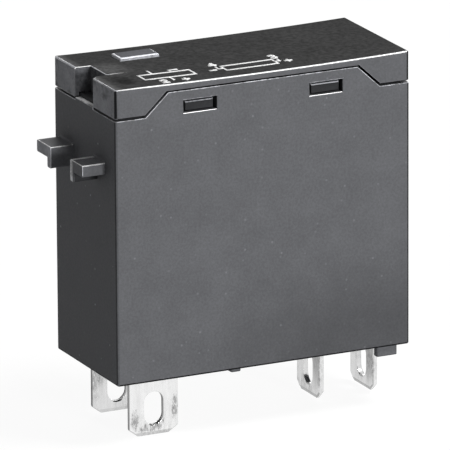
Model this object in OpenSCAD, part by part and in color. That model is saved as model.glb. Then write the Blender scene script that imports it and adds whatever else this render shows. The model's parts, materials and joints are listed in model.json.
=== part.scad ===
// Slim plug-in relay with a semiconductor output.
// The origin is the middle of the case's bottom face. +Z points up to the lid, -X is the end with the
// hold-down lugs and the input blades, and -Y is the front long side.

/* [Case] */
// Length of the case, without its lugs
case_l = 29; // [29:0.1:34]
// Width of the case
case_w = 12.9; // [12.9:0.1:16]
// Height from the case's bottom face to the lid's top face
body_h = 27.4; // [27.2:0.1:34]
// Thickness of the case's walls
wall_t = 0.95; // [0.85:0.05:0.95]
// Thickness of the case's floor
floor_t = 1.2; // [0.8:0.1:1.3]
// Radius of the case's upright and bottom edges
case_edge_r = 0.26; // [0.1:0.02:0.34]
// Radius of the upright corners inside the case
inner_edge_r = 0.3; // [0.2:0.05:0.4]

/* [Lid] */
// Height of the lid's edge above the tongues of the case
skirt_h = 0.74; // [0.6:0.02:0.9]
// Depth of the lid's ears at both ends
ear_h = 2.72; // [2.5:0.02:2.9]
// Length of the ears along their lower edge
ear_l = 2.87; // [2.5:0.01:3.1]
// Distance from the case's end to where the sloping edges meet the skirt
slope_l = 5; // [4.6:0.1:5.4]
// Radius of the lid's upright edges
lid_edge_r = 0.34; // [0.1:0.02:0.42]
// Radius round the lid's top face
lid_top_r = 0.2; // [0.1:0.02:0.3]
// Depth of the plug under the lid, inside the case's walls
plug_d = 0.4; // [0.3:0.05:0.6]
// Open joint under the ears
ear_gap = 0.2; // [0.1:0.01:0.3]
// Open joint along the sloping edges
slope_gap = 0.2; // [0.1:0.01:0.25]
// Open joint under the skirt
skirt_gap = 0.12; // [0.05:0.01:0.15]

/* [Lid notch] */
// Width of the notch in the lid's left end
notch_w = 3.84; // [3.4:0.02:4.2]
// Depth of the notch
notch_d = 1.55; // [1.2:0.05:1.8]
// How far the notch's front side closes in
flare_w = 0.5; // [0.2:0.05:0.6]
// Length of the flare at the notch's mouth
flare_l = 0.65; // [0.3:0.05:0.9]
// Wall of the lid round the notch
liner_t = 0.8; // [0.6:0.1:1]

/* [Latches] */
// Length of the latch windows in the case
window_l = 3.3; // [2.8:0.1:3.8]
// Height of the latch windows
window_h = 1.16; // [1:0.02:1.3]
// Distance from the case's end to the middle of a window
window_inset = 8.3; // [7.8:0.05:8.8]
// Distance from the lid's top face down to the window's upper edge
window_drop = 1.75; // [1.6:0.01:2]
// Gap beside each hook in its window
hook_side_gap = 0.28; // [0.1:0.01:0.4]
// How far the hook's face lies behind the wall's outer face
hook_set = 0.26; // [0.1:0.01:0.4]
// Thickness of the hook's leg
hook_leg_t = 0.8; // [0.6:0.05:1]

/* [Hold-down lugs] */
// How far the lugs stand out of the case's end
lug_out = 2.3; // [1.5:0.1:3]
// Distance from the lid's top face down to the lugs' upper faces
lug_drop = 7.15; // [6:0.05:11]
// Width of the front lug, from its web to the edge of its flange
lug_w = 2.62; // [2:0.02:3.2]
// Width of the back lug, from its web to the edge of its flange
back_lug_w = 2.98; // [2:0.02:3.2]
// Height of a lug's web
lug_h = 2; // [1.6:0.1:2.6]
// Thickness of a lug's flange
lug_flange_t = 1.1; // [0.8:0.05:1.3]
// Thickness of a lug's web
lug_web_t = 0.78; // [0.6:0.02:1]
// Open width between the two lugs
lug_between = 4.1; // [3.6:0.1:5]
// How far the middle of the two lugs lies behind the middle of the case
lug_y = 0.25; // [0:0.05:0.4]

/* [Standoffs] */
// Height of the standoffs under the case
standoff_h = 0.9; // [0.5:0.1:1.5]
// Length of the end standoffs
end_standoff_l = 2.05; // [1:0.05:2.4]
// Width of the end standoffs
end_standoff_w = 0.75; // [0.5:0.05:1.2]
// Length of the middle standoffs
mid_standoff_l = 1; // [0.8:0.1:1.6]
// Width of the middle standoffs
mid_standoff_w = 1.8; // [1.2:0.1:2.4]

/* [Blades] */
// Length of the input blades below the case's bottom face
input_out = 5.7; // [5.2:0.05:8]
// Length of the output blades below the case's bottom face
output_out = 5.5; // [5.2:0.05:8]
// Width of the input blades
input_w = 4.76; // [4.2:0.02:5]
// Width of the output blades
output_w = 4.5; // [4.2:0.02:5]
// Thickness of the blades
blade_t = 0.5; // [0.4:0.05:0.6]
// Width of the slotted hole in each blade
slot_w = 1.9; // [1.4:0.1:2.4]
// Length of the slotted hole
slot_l = 3.1; // [2.6:0.1:3.4]
// Distance from the blade's tip to the slotted hole
slot_tip = 0.95; // [0.9:0.05:1.3]
// Width of the corner cut at each side of an input blade's tip
input_cut_w = 0.82; // [0.4:0.02:1]
// Width of the corner cut at each side of an output blade's tip
output_cut_w = 0.64; // [0.4:0.02:1]
// Height of these corner cuts
tip_cut_h = 0.62; // [0.4:0.02:0.8]
// Distance from the case's left end to the middle of the input blades
input_inset = 4.6; // [4.4:0.02:5]
// Distance between the middles of the two input blades
input_pitch = 7.8; // [7.4:0.05:8]
// Distance from the case's right end to the middle of the outer output blade
output_inset = 1.4; // [1.25:0.05:1.6]
// Distance between the middles of the two output blades
output_pitch = 5.4; // [5.2:0.02:6]
// Width of the blades' shoulders, which rest on the case's floor
shoulder_w = 5.6; // [5.4:0.1:5.8]
// Height of the shoulders
shoulder_h = 1.2; // [0.9:0.1:1.3]

/* [Circuit board] */
// Thickness of the circuit board
board_t = 1; // [0.8:0.1:1]
// Distance from the lid's top face down to the board's upper edge
board_drop = 3.01; // [2.81:0.1:3.21]
// Gap between the board's ends and the case's walls
board_end_gap = 0.15; // [0.1:0.01:0.2]
// Radius of the wire leads
wire_r = 0.25; // [0.2:0.01:0.28]
// How far the leads stand out on the soldered side
wire_proud = 0.45; // [0.3:0.05:0.5]

/* [Indicator] */
// Length of the lens on the lid
lens_l = 3.82; // [3.4:0.02:4.4]
// Width of the lens
lens_w = 2; // [1.9:0.02:2.6]
// Height of the lens's head, from its seat in the lid
lens_h = 0.3; // [0.24:0.02:0.4]
// Width of the lens's sloping sides, seen from above
lens_slope = 0.06; // [0.04:0.01:0.2]
// Distance from the case's left end to the middle of the lens
lens_inset = 6.54; // [6.3:0.02:6.8]
// Gap between the indicator lamp under the lens and the case's wall
lamp_wall_gap = 0.5; // [0.3:0.05:0.6]
// Radius of the indicator lamp's dome
led_r = 1.5; // [1.2:0.1:1.5]

/* [Parts on the board] */
// Length of the photocoupler's body, across its rows of pins
coupler_l = 6.5; // [6:0.1:6.6]
// Width of the photocoupler's body
coupler_w = 4.6; // [4.4:0.1:5]
// Gap between the photocoupler and the case's wall
coupler_wall_gap = 1; // [0.8:0.1:1.5]
// Width of the output transistor's body
transistor_w = 8; // [7.6:0.1:8.2]
// Gap between the heat spreader and the case's wall
spreader_wall_gap = 0.1; // [0.05:0.01:0.3]
// Thickness of the heat spreader
spreader_t = 1; // [0.8:0.1:1]
// Radius of the surge varistor's disc
varistor_r = 3.5; // [3:0.1:3.5]
// Gap between the surge varistor and the case's wall
varistor_wall_gap = 1.1; // [0.8:0.1:1.5]
// Length of the film capacitor
capacitor_l = 7.2; // [6.4:0.1:7.2]

/* [Hidden] */
$fn = 48;

// One overrun for all cuts, and the clearances that pieces share
cut = 0.5;
fit_gap = 0.05;
latch_gap = 0.1;

// Levels above the case's bottom face
skirt_z = body_h - skirt_h;
ear_z = body_h - ear_h;
tongue_z = skirt_z - skirt_gap;
rim_z = ear_z - ear_gap;
plug_z = skirt_z - plug_d;
window_top = body_h - window_drop;
window_z = window_top - window_h;
shoulder_top = floor_t + shoulder_h;
fork_root_h = 0.4;
board_z = shoulder_top + fork_root_h;
board_top = body_h - board_drop;
lug_top_z = body_h - lug_drop;

// Halves of the case, outside and inside
half_l = case_l / 2;
half_w = case_w / 2;
inner_half_l = half_l - wall_t;
inner_half_w = half_w - wall_t;
window_x = half_l - window_inset;

// Room beside the board, and the board's grid: its height holds this many steps of one tenth of an inch
board_room = inner_half_w - board_t / 2;
board_steps = 8.5;
grid = (board_top - board_z) / board_steps;

// The case's tongues follow the lid's sloping edges at the open joint's width
slope_angle = atan2(ear_h - skirt_h, slope_l - ear_l);
slope_shift = slope_gap / sin(slope_angle);
tongue_foot = ear_l + slope_shift - ear_gap / tan(slope_angle);
tongue_head = slope_l + slope_shift - skirt_gap / tan(slope_angle);

// Inner lip of the case behind the ears
lip_t = 0.45;
lip_h = 0.5;
lip_set = wall_t - lip_t;
sill_h = 0.2;
sill_prop_h = 0.9;

// Guides for the board, at the case's left end and under the lid
guide_t = 0.75;
guide_d = 1;
guide_drop = 3.48;
guide_top = rim_z - guide_drop;
board_corner_l = 0.7;
board_corner_h = 1.3;
stay_l = 1.6;
stay_inset = 3.3;
stay_x = half_l - stay_inset;
stay_lap = 0.8;

// Sloping sill of the latch windows
sill_cut = 0.14;

// Hooks
hook_l = window_l - 2 * hook_side_gap;
hook_chamfer = 0.16;
hook_tail = 0.25;
hook_nose_h = 0.08;
hook_y = inner_half_w - fit_gap;

// Marks on the lid's top: a shallow dish, and a ramp beside the notch that falls to the left end
dish_r = 1.3;
dish_d = 0.05;
dish_x = 2.13;
dish_y = 2.66;
ramp_l = 3.6;
ramp_d = 0.05;

// The notch lies a little behind the middle of the case
notch_y = 0.1;

// Lugs
lug_edge_r = 0.16;
lug_fillet_r = 0.2;

// Standoffs
end_standoff_inset = 2.12;
end_standoff_x = half_l - end_standoff_inset;
mid_standoff_x = 1.85;
mid_standoff_y = 3.5;
standoff_edge_r = 0.2;

// Blades
blade_gap = 0.05;
coin_h = 0.35;
coin_t = 0.3;
input_x = -half_l + input_inset;
output_outer_x = half_l - output_inset;
output_inner_x = output_outer_x - output_pitch;
stem_w = 1.8;
stem_shift = 1.4;
arm_rise = 1.2;
arm_z = board_z + arm_rise;
arm_bend_r = 0.4;
arm_proud = 0.5;
fork_w = 3.8;
prong_h = 2.4;

// Board
board_l = 2 * (inner_half_l - board_end_gap);
board_h = board_top - board_z;
board_left = -board_l / 2;
board_right = board_l / 2;
hole_gap = 0.1;
screw_window_r = 3.1;

// Lens and lamp
lens_x = -half_l + lens_inset;
lens_stem_l = 3.2;
lens_stem_w = 1.7;
lens_seat_d = 0.12;
led_gap = 0.3;
led_drop = 1.2;
led_steps = 2;
led_h = led_steps * grid;
led_top = board_top - led_drop;
led_z = led_top - led_h;
led_flange_out = 0.2;
led_flange_r = led_r + led_flange_out;
led_flange_h = 0.7;
led_pitch = 2.54;
led_bend_r = 0.5;
led_stub = 0.6;
led_joint_z = led_z - led_stub - led_bend_r;
lens_y = inner_half_w - lamp_wall_gap - led_flange_r;

// Photocoupler
coupler_steps = 4;
coupler_z = board_z + coupler_steps * grid;
coupler_up = 0.5;
coupler_h = board_room - coupler_up - coupler_wall_gap;
coupler_pin_gap = 0.56;
coupler_row = coupler_l + 2 * coupler_pin_gap;
coupler_pitch = grid;
coupler_pin_t = 0.25;
coupler_pin_w = 0.5;
coupler_shoulder_w = 1.2;
coupler_draft = 0.15;
coupler_dot_r = 0.4;
coupler_dot_d = 0.15;

// Axial parts stand this far off the board, measured to the body's side
axial_up = 0.1;
axial_bend_r = 0.6;
resistor_inset = 2.2;
resistor_x = board_left + resistor_inset;
resistor_rise = 2.92;
resistor_r = 1.15;
resistor_waist_r = 0.98;
resistor_steps = 2.5;
resistor_l = resistor_steps * grid;
resistor_cap_l = 1.4;
resistor_pitch_steps = 4;
resistor_pitch = resistor_pitch_steps * grid;
resistor_z = arm_z + resistor_rise + resistor_pitch / 2;
diode_inset = 4.4;
diode_x = board_left + diode_inset;
diode_r = 0.95;
diode_steps = 1.6;
diode_l = diode_steps * grid;
diode_pitch_steps = 3;
diode_pitch = diode_pitch_steps * grid;
diode_led_gap = 1.3;
diode_z = led_joint_z - diode_led_gap - diode_pitch / 2;
clamp_steps = 1.65;
clamp_z = board_z + clamp_steps * grid;
clamp_r = 1.35;
clamp_l = 5.2;
clamp_share = 0.379;
clamp_pitch = clamp_share * board_l;
clamp_blade_gap = 2.12;
clamp_x = output_inner_x - clamp_blade_gap - clamp_pitch / 2;
coupler_diode_gap = 0.64;
coupler_x = diode_x + diode_r + coupler_diode_gap + coupler_row / 2;

// Output transistor, its sheet, spreader and screw, stacked back from the board to the case's wall
transistor_inset = 8.4;
transistor_x = board_right - transistor_inset;
transistor_up = 0.6;
transistor_drop = 1.2;
transistor_steps = 4.33;
transistor_l = transistor_steps * grid;
transistor_z = board_top - transistor_drop - transistor_l;
transistor_hole_drop = 3.8;
transistor_hole_r = 1.6;
backplate_t = 0.5;
backplate_inset = 0.4;
transistor_lead_w = 0.76;
transistor_lead_t = 0.5;
transistor_lead_pitch = 2.29;
transistor_lead_set = 1.3;
transistor_lead_drop = 1.35;
transistor_edge = 0.3;
sheet_t = 0.1;
transistor_h = board_room - transistor_up - sheet_t - spreader_t - spreader_wall_gap;
sheet_margin = 0.6;
spreader_l = 14;
spreader_inset = 0.4;
spreader_right = board_right - spreader_inset;
spreader_left = spreader_right - spreader_l;
spreader_drop = 0.8;
spreader_top = board_top - spreader_drop;
spreader_corner = 1.5;
screw_r = 1.45;
screw_head_r = 2.7;
screw_head_h = 1.6;
screw_round = 0.35;
screw_cross_l = 3;
screw_cross_w = 0.5;
screw_cross_d = 0.9;
screw_gap = 0.03;

// Varistor
varistor_inset = 3.7;
varistor_x = board_right - varistor_inset;
varistor_up = 0.7;
varistor_h = board_room - varistor_up - varistor_wall_gap;
varistor_round = 0.9;
varistor_pitch = 5;
varistor_wire_r = 0.3;
varistor_bend_rise = 1;
varistor_bend_z = board_z + prong_h + varistor_bend_rise;
varistor_bend_out = 0.5;
varistor_z = varistor_bend_z + varistor_r + varistor_bend_out;

// Film capacitor
capacitor_screw_gap = 1.6;
capacitor_drop = 4.9;
capacitor_z = board_top - capacitor_drop;
capacitor_w = 3;
capacitor_up = 0.1;
capacitor_wall_gap = 0.6;
capacitor_h = board_room - capacitor_up - capacitor_wall_gap;
capacitor_pitch = 5;
capacitor_x = transistor_x - screw_window_r - capacitor_screw_gap - capacitor_pitch / 2;
capacitor_edge_r = 0.3;

// Driver chip on the board's back, and chip resistors beside it
chip_x = clamp_x;
chip_z = clamp_z;
chip_w = 3.9;
chip_steps = 2;
chip_l = chip_steps * grid;
chip_h = 1.4;
chip_up = 0.1;
chip_pin_pitch = grid / 2;
chip_pin_w = 0.4;
chip_pin_t = 0.2;
chip_pin_out = 1.05;
chip_span = chip_w + 2 * chip_pin_out;
chip_foot = 0.6;
smd_set = 0.6;
smd_x = coupler_x - smd_set;
smd_count = 4;
smd_start_steps = 3;
smd_z = board_z + smd_start_steps * grid;
smd_steps = 0.69;
smd_step = smd_steps * grid;
smd_body_l = 1.2;
smd_end_l = 0.4;
smd_w = 1.25;
smd_h = 0.55;
smd_skin = 0.03;

// Solder
solder_r = 0.72;
solder_h = 0.4;
solder_gap = 0.02;
fillet_leg = 0.7;

// Leads that pass through the board: [x, z, side, half width, half height]. Side 1 is soldered at the
// back and side -1 at the front. A lead with no half height is a round wire.
wire_joints = concat(
    [for (s = [-1, 1]) [resistor_x, resistor_z + s * resistor_pitch / 2, 1, wire_r, 0]],
    [for (s = [-1, 1]) [diode_x, diode_z + s * diode_pitch / 2, 1, wire_r, 0]],
    [for (s = [-1, 1]) [clamp_x + s * clamp_pitch / 2, clamp_z, 1, wire_r, 0]],
    [for (s = [-1, 1]) [capacitor_x + s * capacitor_pitch / 2, capacitor_z, 1, wire_r, 0]],
    [for (s = [-1, 1]) [varistor_x + s * varistor_pitch / 2, varistor_bend_z, 1, varistor_wire_r, 0]],
    [for (s = [-1, 1]) [lens_x + s * led_pitch / 2, led_joint_z, -1, wire_r, 0]],
    [for (s = [-1, 1], t = [-1, 1])
        [coupler_x + s * (coupler_row - coupler_pin_t) / 2, coupler_z + t * coupler_pitch / 2, 1,
         coupler_pin_t / 2, coupler_pin_w / 2]],
    [for (i = [-1:1])
        [transistor_x + i * transistor_lead_pitch, transistor_z - transistor_lead_drop, -1,
         transistor_lead_w / 2, transistor_lead_t / 2]]
);

// A rectangle with round corners, centred
module round_rect(l, w, r) {
    square([l - 2 * r, w], center = true);
    square([l, w - 2 * r], center = true);
    for (x = [-1, 1], y = [-1, 1])
        translate([x * (l / 2 - r), y * (w / 2 - r)]) circle(r = r);
}

// A rectangle on the X axis whose two lower corners are round
module round_foot(l, h, r) {
    translate([-l / 2, r]) square([l, h - r]);
    translate([-l / 2 + r, 0]) square([l - 2 * r, h]);
    for (x = [-1, 1]) translate([x * (l / 2 - r), r]) circle(r = r);
}

// A flat shape drawn in X and Z, extruded along Y about the middle
module along_y(w) {
    rotate([90, 0, 0]) linear_extrude(height = w, center = true) children();
}

// A flat shape drawn in Y and Z, extruded along X about the middle
module along_x(l) {
    rotate([90, 0, 90]) linear_extrude(height = l, center = true) children();
}

// A box given by its two corners
module span(low, high) {
    translate(low) cube(high - low);
}

// The same piece at the front and at the back
module front_and_back() {
    children();
    mirror([0, 1, 0]) children();
}

// Places on the board's front and back face. Local Z points away from the board and local Y up.
module on_front(x, z, turn = 0) {
    translate([x, -board_t / 2, z]) rotate([90, 0, 0]) rotate([0, 0, turn]) children();
}

module on_back(x, z, turn = 0) {
    translate([x, board_t / 2, z]) rotate([90, 0, 180]) rotate([0, 0, turn]) children();
}

// Outer form of the case: the tongues, the low ends and the round edges
module case_form() {
    intersection() {
        linear_extrude(height = tongue_z) round_rect(case_l, case_w, case_edge_r);
        along_x(case_l) round_foot(case_w, tongue_z, case_edge_r);
        along_y(case_w) round_foot(case_l, tongue_z, case_edge_r);
        along_y(case_w) polygon([
            [-half_l, 0], [half_l, 0], [half_l, rim_z], [half_l - tongue_foot, rim_z],
            [half_l - tongue_head, tongue_z], [-half_l + tongue_head, tongue_z],
            [-half_l + tongue_foot, rim_z], [-half_l, rim_z]]);
    }
}

// Lip behind the ears, which closes the open joint from inside
module case_lip() {
    translate([0, 0, rim_z - lip_h]) linear_extrude(height = 2 * lip_h)
        round_rect(case_l - 2 * lip_set, case_w - 2 * lip_set, inner_edge_r);
}

// Sill that fills the foot of the lid's notch
module notch_sill() {
    w = notch_w - 2 * fit_gap;
    depth = notch_d - fit_gap;
    translate([-half_l, notch_y + flare_w / 2, 0]) along_y(w - flare_w) polygon([
        [lip_set, rim_z - sill_prop_h], [wall_t, rim_z - sill_prop_h], [depth, rim_z],
        [depth, rim_z + lip_h], [lip_set, rim_z + lip_h]]);
    span([-half_l, notch_y - w / 2, rim_z - sill_h], [-inner_half_l, notch_y + w / 2, rim_z + sill_h]);
}

// One latch window, cut through the front wall, with its sloping sill
module window_cut() {
    translate([0, -half_w, 0]) along_x(window_l) polygon([
        [-cut, window_z - sill_cut], [0, window_z - sill_cut], [sill_cut, window_z],
        [wall_t + cut, window_z], [wall_t + cut, window_top], [-cut, window_top]]);
}

// One lug at the front: a flange that reaches out over its web
module lug(w) {
    y = -lug_between / 2;
    translate([-half_l - lug_out, 0, 0]) rotate([90, 0, 90]) linear_extrude(height = lug_out + wall_t / 2)
        translate([y, lug_top_z]) {
            translate([-w / 2, -lug_flange_t / 2]) round_rect(w, lug_flange_t, lug_edge_r);
            translate([-lug_web_t / 2, -lug_h / 2]) round_rect(lug_web_t, lug_h, lug_edge_r);
        }
    translate([-half_l, y - w / 2, lug_top_z]) along_y(w) difference() {
        translate([-lug_fillet_r, -lug_fillet_r]) square([2 * lug_fillet_r, 2 * lug_fillet_r]);
        translate([-lug_fillet_r, lug_fillet_r]) circle(r = lug_fillet_r);
    }
}

module standoff(l, w, x, y) {
    translate([x, y, -standoff_h]) linear_extrude(height = standoff_h + floor_t / 2)
        round_rect(l, w, standoff_edge_r);
}

module case() {
    color("#4b4c4f") {
        difference() {
            union() {
                case_form();
                case_lip();
            }
            translate([0, 0, floor_t]) linear_extrude(height = body_h)
                round_rect(2 * inner_half_l, 2 * inner_half_w, inner_edge_r);
            front_and_back() for (x = [-window_x, window_x]) translate([x, 0, 0]) window_cut();
            for (y = [-1, 1]) translate([input_x, y * input_pitch / 2, floor_t / 2])
                cube([input_w + 2 * blade_gap, blade_t + 2 * blade_gap, floor_t + 2 * cut], center = true);
            for (x = [output_inner_x, output_outer_x]) translate([x, 0, floor_t / 2])
                cube([blade_t + 2 * blade_gap, output_w + 2 * blade_gap, floor_t + 2 * cut], center = true);
        }
        notch_sill();
        translate([0, lug_y, 0]) {
            lug(lug_w);
            mirror([0, 1, 0]) lug(back_lug_w);
        }
        front_and_back() {
            span([-inner_half_l - wall_t / 2, board_t / 2 + fit_gap, floor_t / 2],
                 [-inner_half_l + guide_d, board_t / 2 + fit_gap + guide_t, guide_top]);
            standoff(end_standoff_l, end_standoff_w, end_standoff_x,
                     -half_w + case_edge_r + end_standoff_w / 2);
            standoff(mid_standoff_l, mid_standoff_w, -mid_standoff_x, -mid_standoff_y);
        }
    }
}

// Outer form of the lid: top plate, skirt, ears and round edges
module lid_form() {
    intersection() {
        translate([0, 0, ear_z]) linear_extrude(height = ear_h) round_rect(case_l, case_w, lid_edge_r);
        translate([0, 0, body_h]) mirror([0, 0, 1]) along_x(case_l) round_foot(case_w, ear_h, lid_top_r);
        translate([0, 0, body_h]) mirror([0, 0, 1]) along_y(case_w) round_foot(case_l, ear_h, lid_top_r);
        along_y(case_w) polygon([
            [-half_l, ear_z], [-half_l + ear_l, ear_z], [-half_l + slope_l, skirt_z],
            [half_l - slope_l, skirt_z], [half_l - ear_l, ear_z], [half_l, ear_z],
            [half_l, body_h], [-half_l, body_h]]);
    }
}

// Plan of the notch, with its flared front side
module notch_plan(grow = 0) {
    translate([0, notch_y]) polygon([
        [-half_l - cut, -notch_w / 2 - grow], [-half_l, -notch_w / 2 - grow],
        [-half_l + flare_l, -notch_w / 2 + flare_w - grow],
        [-half_l + notch_d + grow, -notch_w / 2 + flare_w - grow],
        [-half_l + notch_d + grow, notch_w / 2 + grow], [-half_l - cut, notch_w / 2 + grow]]);
}

// One hook at the front: a leg inside the wall and a barb in the window
module hook() {
    barb_top = window_top - latch_gap;
    face_y = half_w - hook_set;
    nose_z = window_z + hook_nose_h;
    mirror([0, 1, 0]) along_x(hook_l) polygon([
        [hook_y - hook_leg_t, skirt_z], [hook_y - hook_leg_t, window_z - hook_tail],
        [hook_y, window_z - hook_tail], [hook_y, window_z + fit_gap],
        [face_y, nose_z], [face_y, barb_top - hook_chamfer],
        [face_y - hook_chamfer, barb_top], [hook_y, barb_top], [hook_y, skirt_z]]);
}

module lid() {
    dish_ball_r = (dish_r * dish_r + dish_d * dish_d) / (2 * dish_d);
    step_y = notch_y - notch_w / 2 + flare_w;
    color("#47484b") difference() {
        union() {
            difference() {
                lid_form();
                translate([0, 0, ear_z - cut]) linear_extrude(height = skirt_z - ear_z + cut)
                    round_rect(2 * inner_half_l, 2 * inner_half_w, inner_edge_r);
            }
            translate([0, 0, plug_z]) linear_extrude(height = skirt_h / 2 + plug_d)
                round_rect(2 * (inner_half_l - fit_gap), 2 * (inner_half_w - fit_gap), inner_edge_r);
            intersection() {
                lid_form();
                translate([0, 0, ear_z]) linear_extrude(height = ear_h - skirt_h / 2)
                    notch_plan(liner_t);
            }
            front_and_back() {
                for (x = [-window_x, window_x]) translate([x, 0, 0]) hook();
                for (x = [-stay_x, stay_x])
                    span([x - stay_l / 2, board_t / 2 + fit_gap, board_top - stay_lap],
                         [x + stay_l / 2, board_t / 2 + fit_gap + guide_t, skirt_z]);
            }
        }
        translate([0, 0, ear_z - cut]) linear_extrude(height = cut + rim_z + lip_h + fit_gap - ear_z)
            difference() {
                round_rect(case_l - 2 * lip_set + 2 * fit_gap, case_w - 2 * lip_set + 2 * fit_gap,
                           inner_edge_r);
                round_rect(2 * inner_half_l - 2 * fit_gap, 2 * inner_half_w - 2 * fit_gap, inner_edge_r);
                square([case_l - 2 * slope_l, case_w], center = true);
            }
        translate([0, 0, ear_z - cut]) linear_extrude(height = ear_h + 2 * cut) notch_plan();
        span([lens_x - lens_stem_l / 2 - fit_gap, lens_y - lens_stem_w / 2 - fit_gap, plug_z - cut],
             [lens_x + lens_stem_l / 2 + fit_gap, lens_y + lens_stem_w / 2 + fit_gap, body_h + cut]);
        translate([-half_l + dish_x, -half_w + dish_y, body_h - ramp_d / 2 - dish_d + dish_ball_r])
            sphere(r = dish_ball_r);
        translate([-half_l, (step_y - half_w - cut) / 2, 0]) along_y(half_w + cut + step_y) polygon([
            [-cut, body_h - ramp_d * (ramp_l + cut) / ramp_l], [ramp_l, body_h],
            [ramp_l, body_h + cut], [-cut, body_h + cut]]);
        span([lens_x - lens_l / 2 - fit_gap, lens_y - lens_w / 2 - fit_gap, body_h - lens_seat_d],
             [lens_x + lens_l / 2 + fit_gap, lens_y + lens_w / 2 + fit_gap, body_h + cut]);
    }
}

module indicator_lens() {
    color("#6d6e70") translate([lens_x, lens_y, body_h - lens_seat_d]) {
        intersection() {
            along_y(lens_w) polygon([[-lens_l / 2, 0], [lens_l / 2, 0],
                                     [lens_l / 2 - lens_slope, lens_h], [-lens_l / 2 + lens_slope, lens_h]]);
            along_x(lens_l) polygon([[-lens_w / 2, 0], [lens_w / 2, 0],
                                     [lens_w / 2 - lens_slope, lens_h], [-lens_w / 2 + lens_slope, lens_h]]);
        }
        depth = body_h - lens_seat_d - led_top - led_gap;
        span([-lens_stem_l / 2, -lens_stem_w / 2, -depth], [lens_stem_l / 2, lens_stem_w / 2, lens_h / 2]);
    }
}

// Plug-in end of a blade in X and Z: cut corners at the tip and a slotted hole
module blade_outline(w, out, tip_cut_w) {
    difference() {
        polygon([
            [-w / 2, floor_t], [-w / 2, tip_cut_h - out], [-w / 2 + tip_cut_w, -out],
            [w / 2 - tip_cut_w, -out], [w / 2, tip_cut_h - out], [w / 2, floor_t]]);
        translate([0, slot_tip - out + slot_l / 2]) {
            square([slot_w, slot_l - slot_w], center = true);
            for (s = [-1, 1]) translate([0, s * (slot_l - slot_w) / 2]) circle(r = slot_w / 2);
        }
    }
}

// Coined tip: the blade's section in Y and Z, thinner at the tip
module blade_section(out) {
    polygon([
        [-blade_t / 2, board_top], [-blade_t / 2, coin_h - out], [-coin_t / 2, -out],
        [coin_t / 2, -out], [blade_t / 2, coin_h - out], [blade_t / 2, board_top]]);
}

// Input blade at the front. Its stem rises beside the board and bends into it.
module input_blade() {
    bend_z = arm_z - arm_bend_r;
    arm_y = input_pitch / 2 - blade_t / 2 - arm_bend_r;
    translate([input_x, 0, 0]) {
        translate([0, -input_pitch / 2, 0]) {
            intersection() {
                along_y(blade_t) union() {
                    blade_outline(input_w, input_out, input_cut_w);
                    translate([-shoulder_w / 2, floor_t]) square([shoulder_w, shoulder_h]);
                    translate([-stem_shift - stem_w / 2, floor_t]) square([stem_w, bend_z - floor_t]);
                }
                along_x(shoulder_w) blade_section(input_out);
            }
        }
        translate([-stem_shift + stem_w / 2, -arm_y, bend_z]) rotate([90, 0, -90])
            rotate_extrude(angle = 90) translate([arm_bend_r, 0]) square([blade_t, stem_w]);
        span([-stem_shift - stem_w / 2, -arm_y, arm_z],
             [-stem_shift + stem_w / 2, board_t / 2 + arm_proud, arm_z + blade_t]);
    }
}

module input_blade_front() {
    color("#d9dadb") input_blade();
}

module input_blade_back() {
    color("#d9dadb") translate([input_x, 0, 0]) rotate([0, 0, 180]) translate([-input_x, 0, 0])
        input_blade();
}

// Output blade across the board, with a fork that the board's lower edge stands in
module output_blade(x) {
    fork_gap = board_t + 2 * fit_gap;
    translate([x, 0, 0]) intersection() {
        along_x(blade_t) difference() {
            union() {
                blade_outline(output_w, output_out, output_cut_w);
                translate([-shoulder_w / 2, floor_t]) square([shoulder_w, shoulder_h]);
                translate([-fork_w / 2, floor_t]) square([fork_w, board_z + prong_h - floor_t]);
            }
            translate([-fork_gap / 2, board_z]) square([fork_gap, prong_h + cut]);
        }
        along_y(shoulder_w) blade_section(output_out);
    }
}

module output_blade_inner() {
    color("#d9dadb") output_blade(output_inner_x);
}

module output_blade_outer() {
    color("#d9dadb") output_blade(output_outer_x);
}

// Holes for the leads, slots for the input blades' arms, and a round window for the screw's head
module circuit_board() {
    arm_slot_w = stem_w + 2 * hole_gap;
    arm_slot_h = blade_t + 2 * hole_gap;
    color("#2f6b45") along_y(board_t) difference() {
        translate([board_left, board_z]) square([board_l, board_h]);
        translate([board_left - cut, board_top - board_corner_h])
            square([board_corner_l + cut, board_corner_h + cut]);
        for (j = wire_joints)
            translate([j[0], j[1]]) circle(r = norm([j[3], j[4]]) + hole_gap, $fn = 24);
        for (s = [-1, 1])
            translate([input_x + s * stem_shift - arm_slot_w / 2, arm_z - hole_gap])
                square([arm_slot_w, arm_slot_h]);
        translate([transistor_x, transistor_z + transistor_l - transistor_hole_drop])
            circle(r = screw_window_r);
    }
}

// Moulded body with slightly sloping sides, local Z away from the board
module moulded_body(l, w, h, draft) {
    intersection() {
        along_y(w) polygon([
            [-l / 2 + draft, 0], [l / 2 - draft, 0], [l / 2, h / 2], [l / 2 - draft, h],
            [-l / 2 + draft, h], [-l / 2, h / 2]]);
        along_x(l) polygon([
            [-w / 2 + draft, 0], [w / 2 - draft, 0], [w / 2, h / 2], [w / 2 - draft, h],
            [-w / 2 + draft, h], [-w / 2, h / 2]]);
    }
}

module photocoupler() {
    color("#26272a") on_front(coupler_x, coupler_z) difference() {
        translate([0, 0, coupler_up]) moulded_body(coupler_l, coupler_w, coupler_h, coupler_draft);
        translate([-coupler_l / 2 + 3 * coupler_dot_r, coupler_w / 2 - 3 * coupler_dot_r,
                   coupler_up + coupler_h - coupler_dot_d])
            cylinder(r = coupler_dot_r, h = coupler_dot_d + cut, $fn = 24);
    }
}

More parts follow.
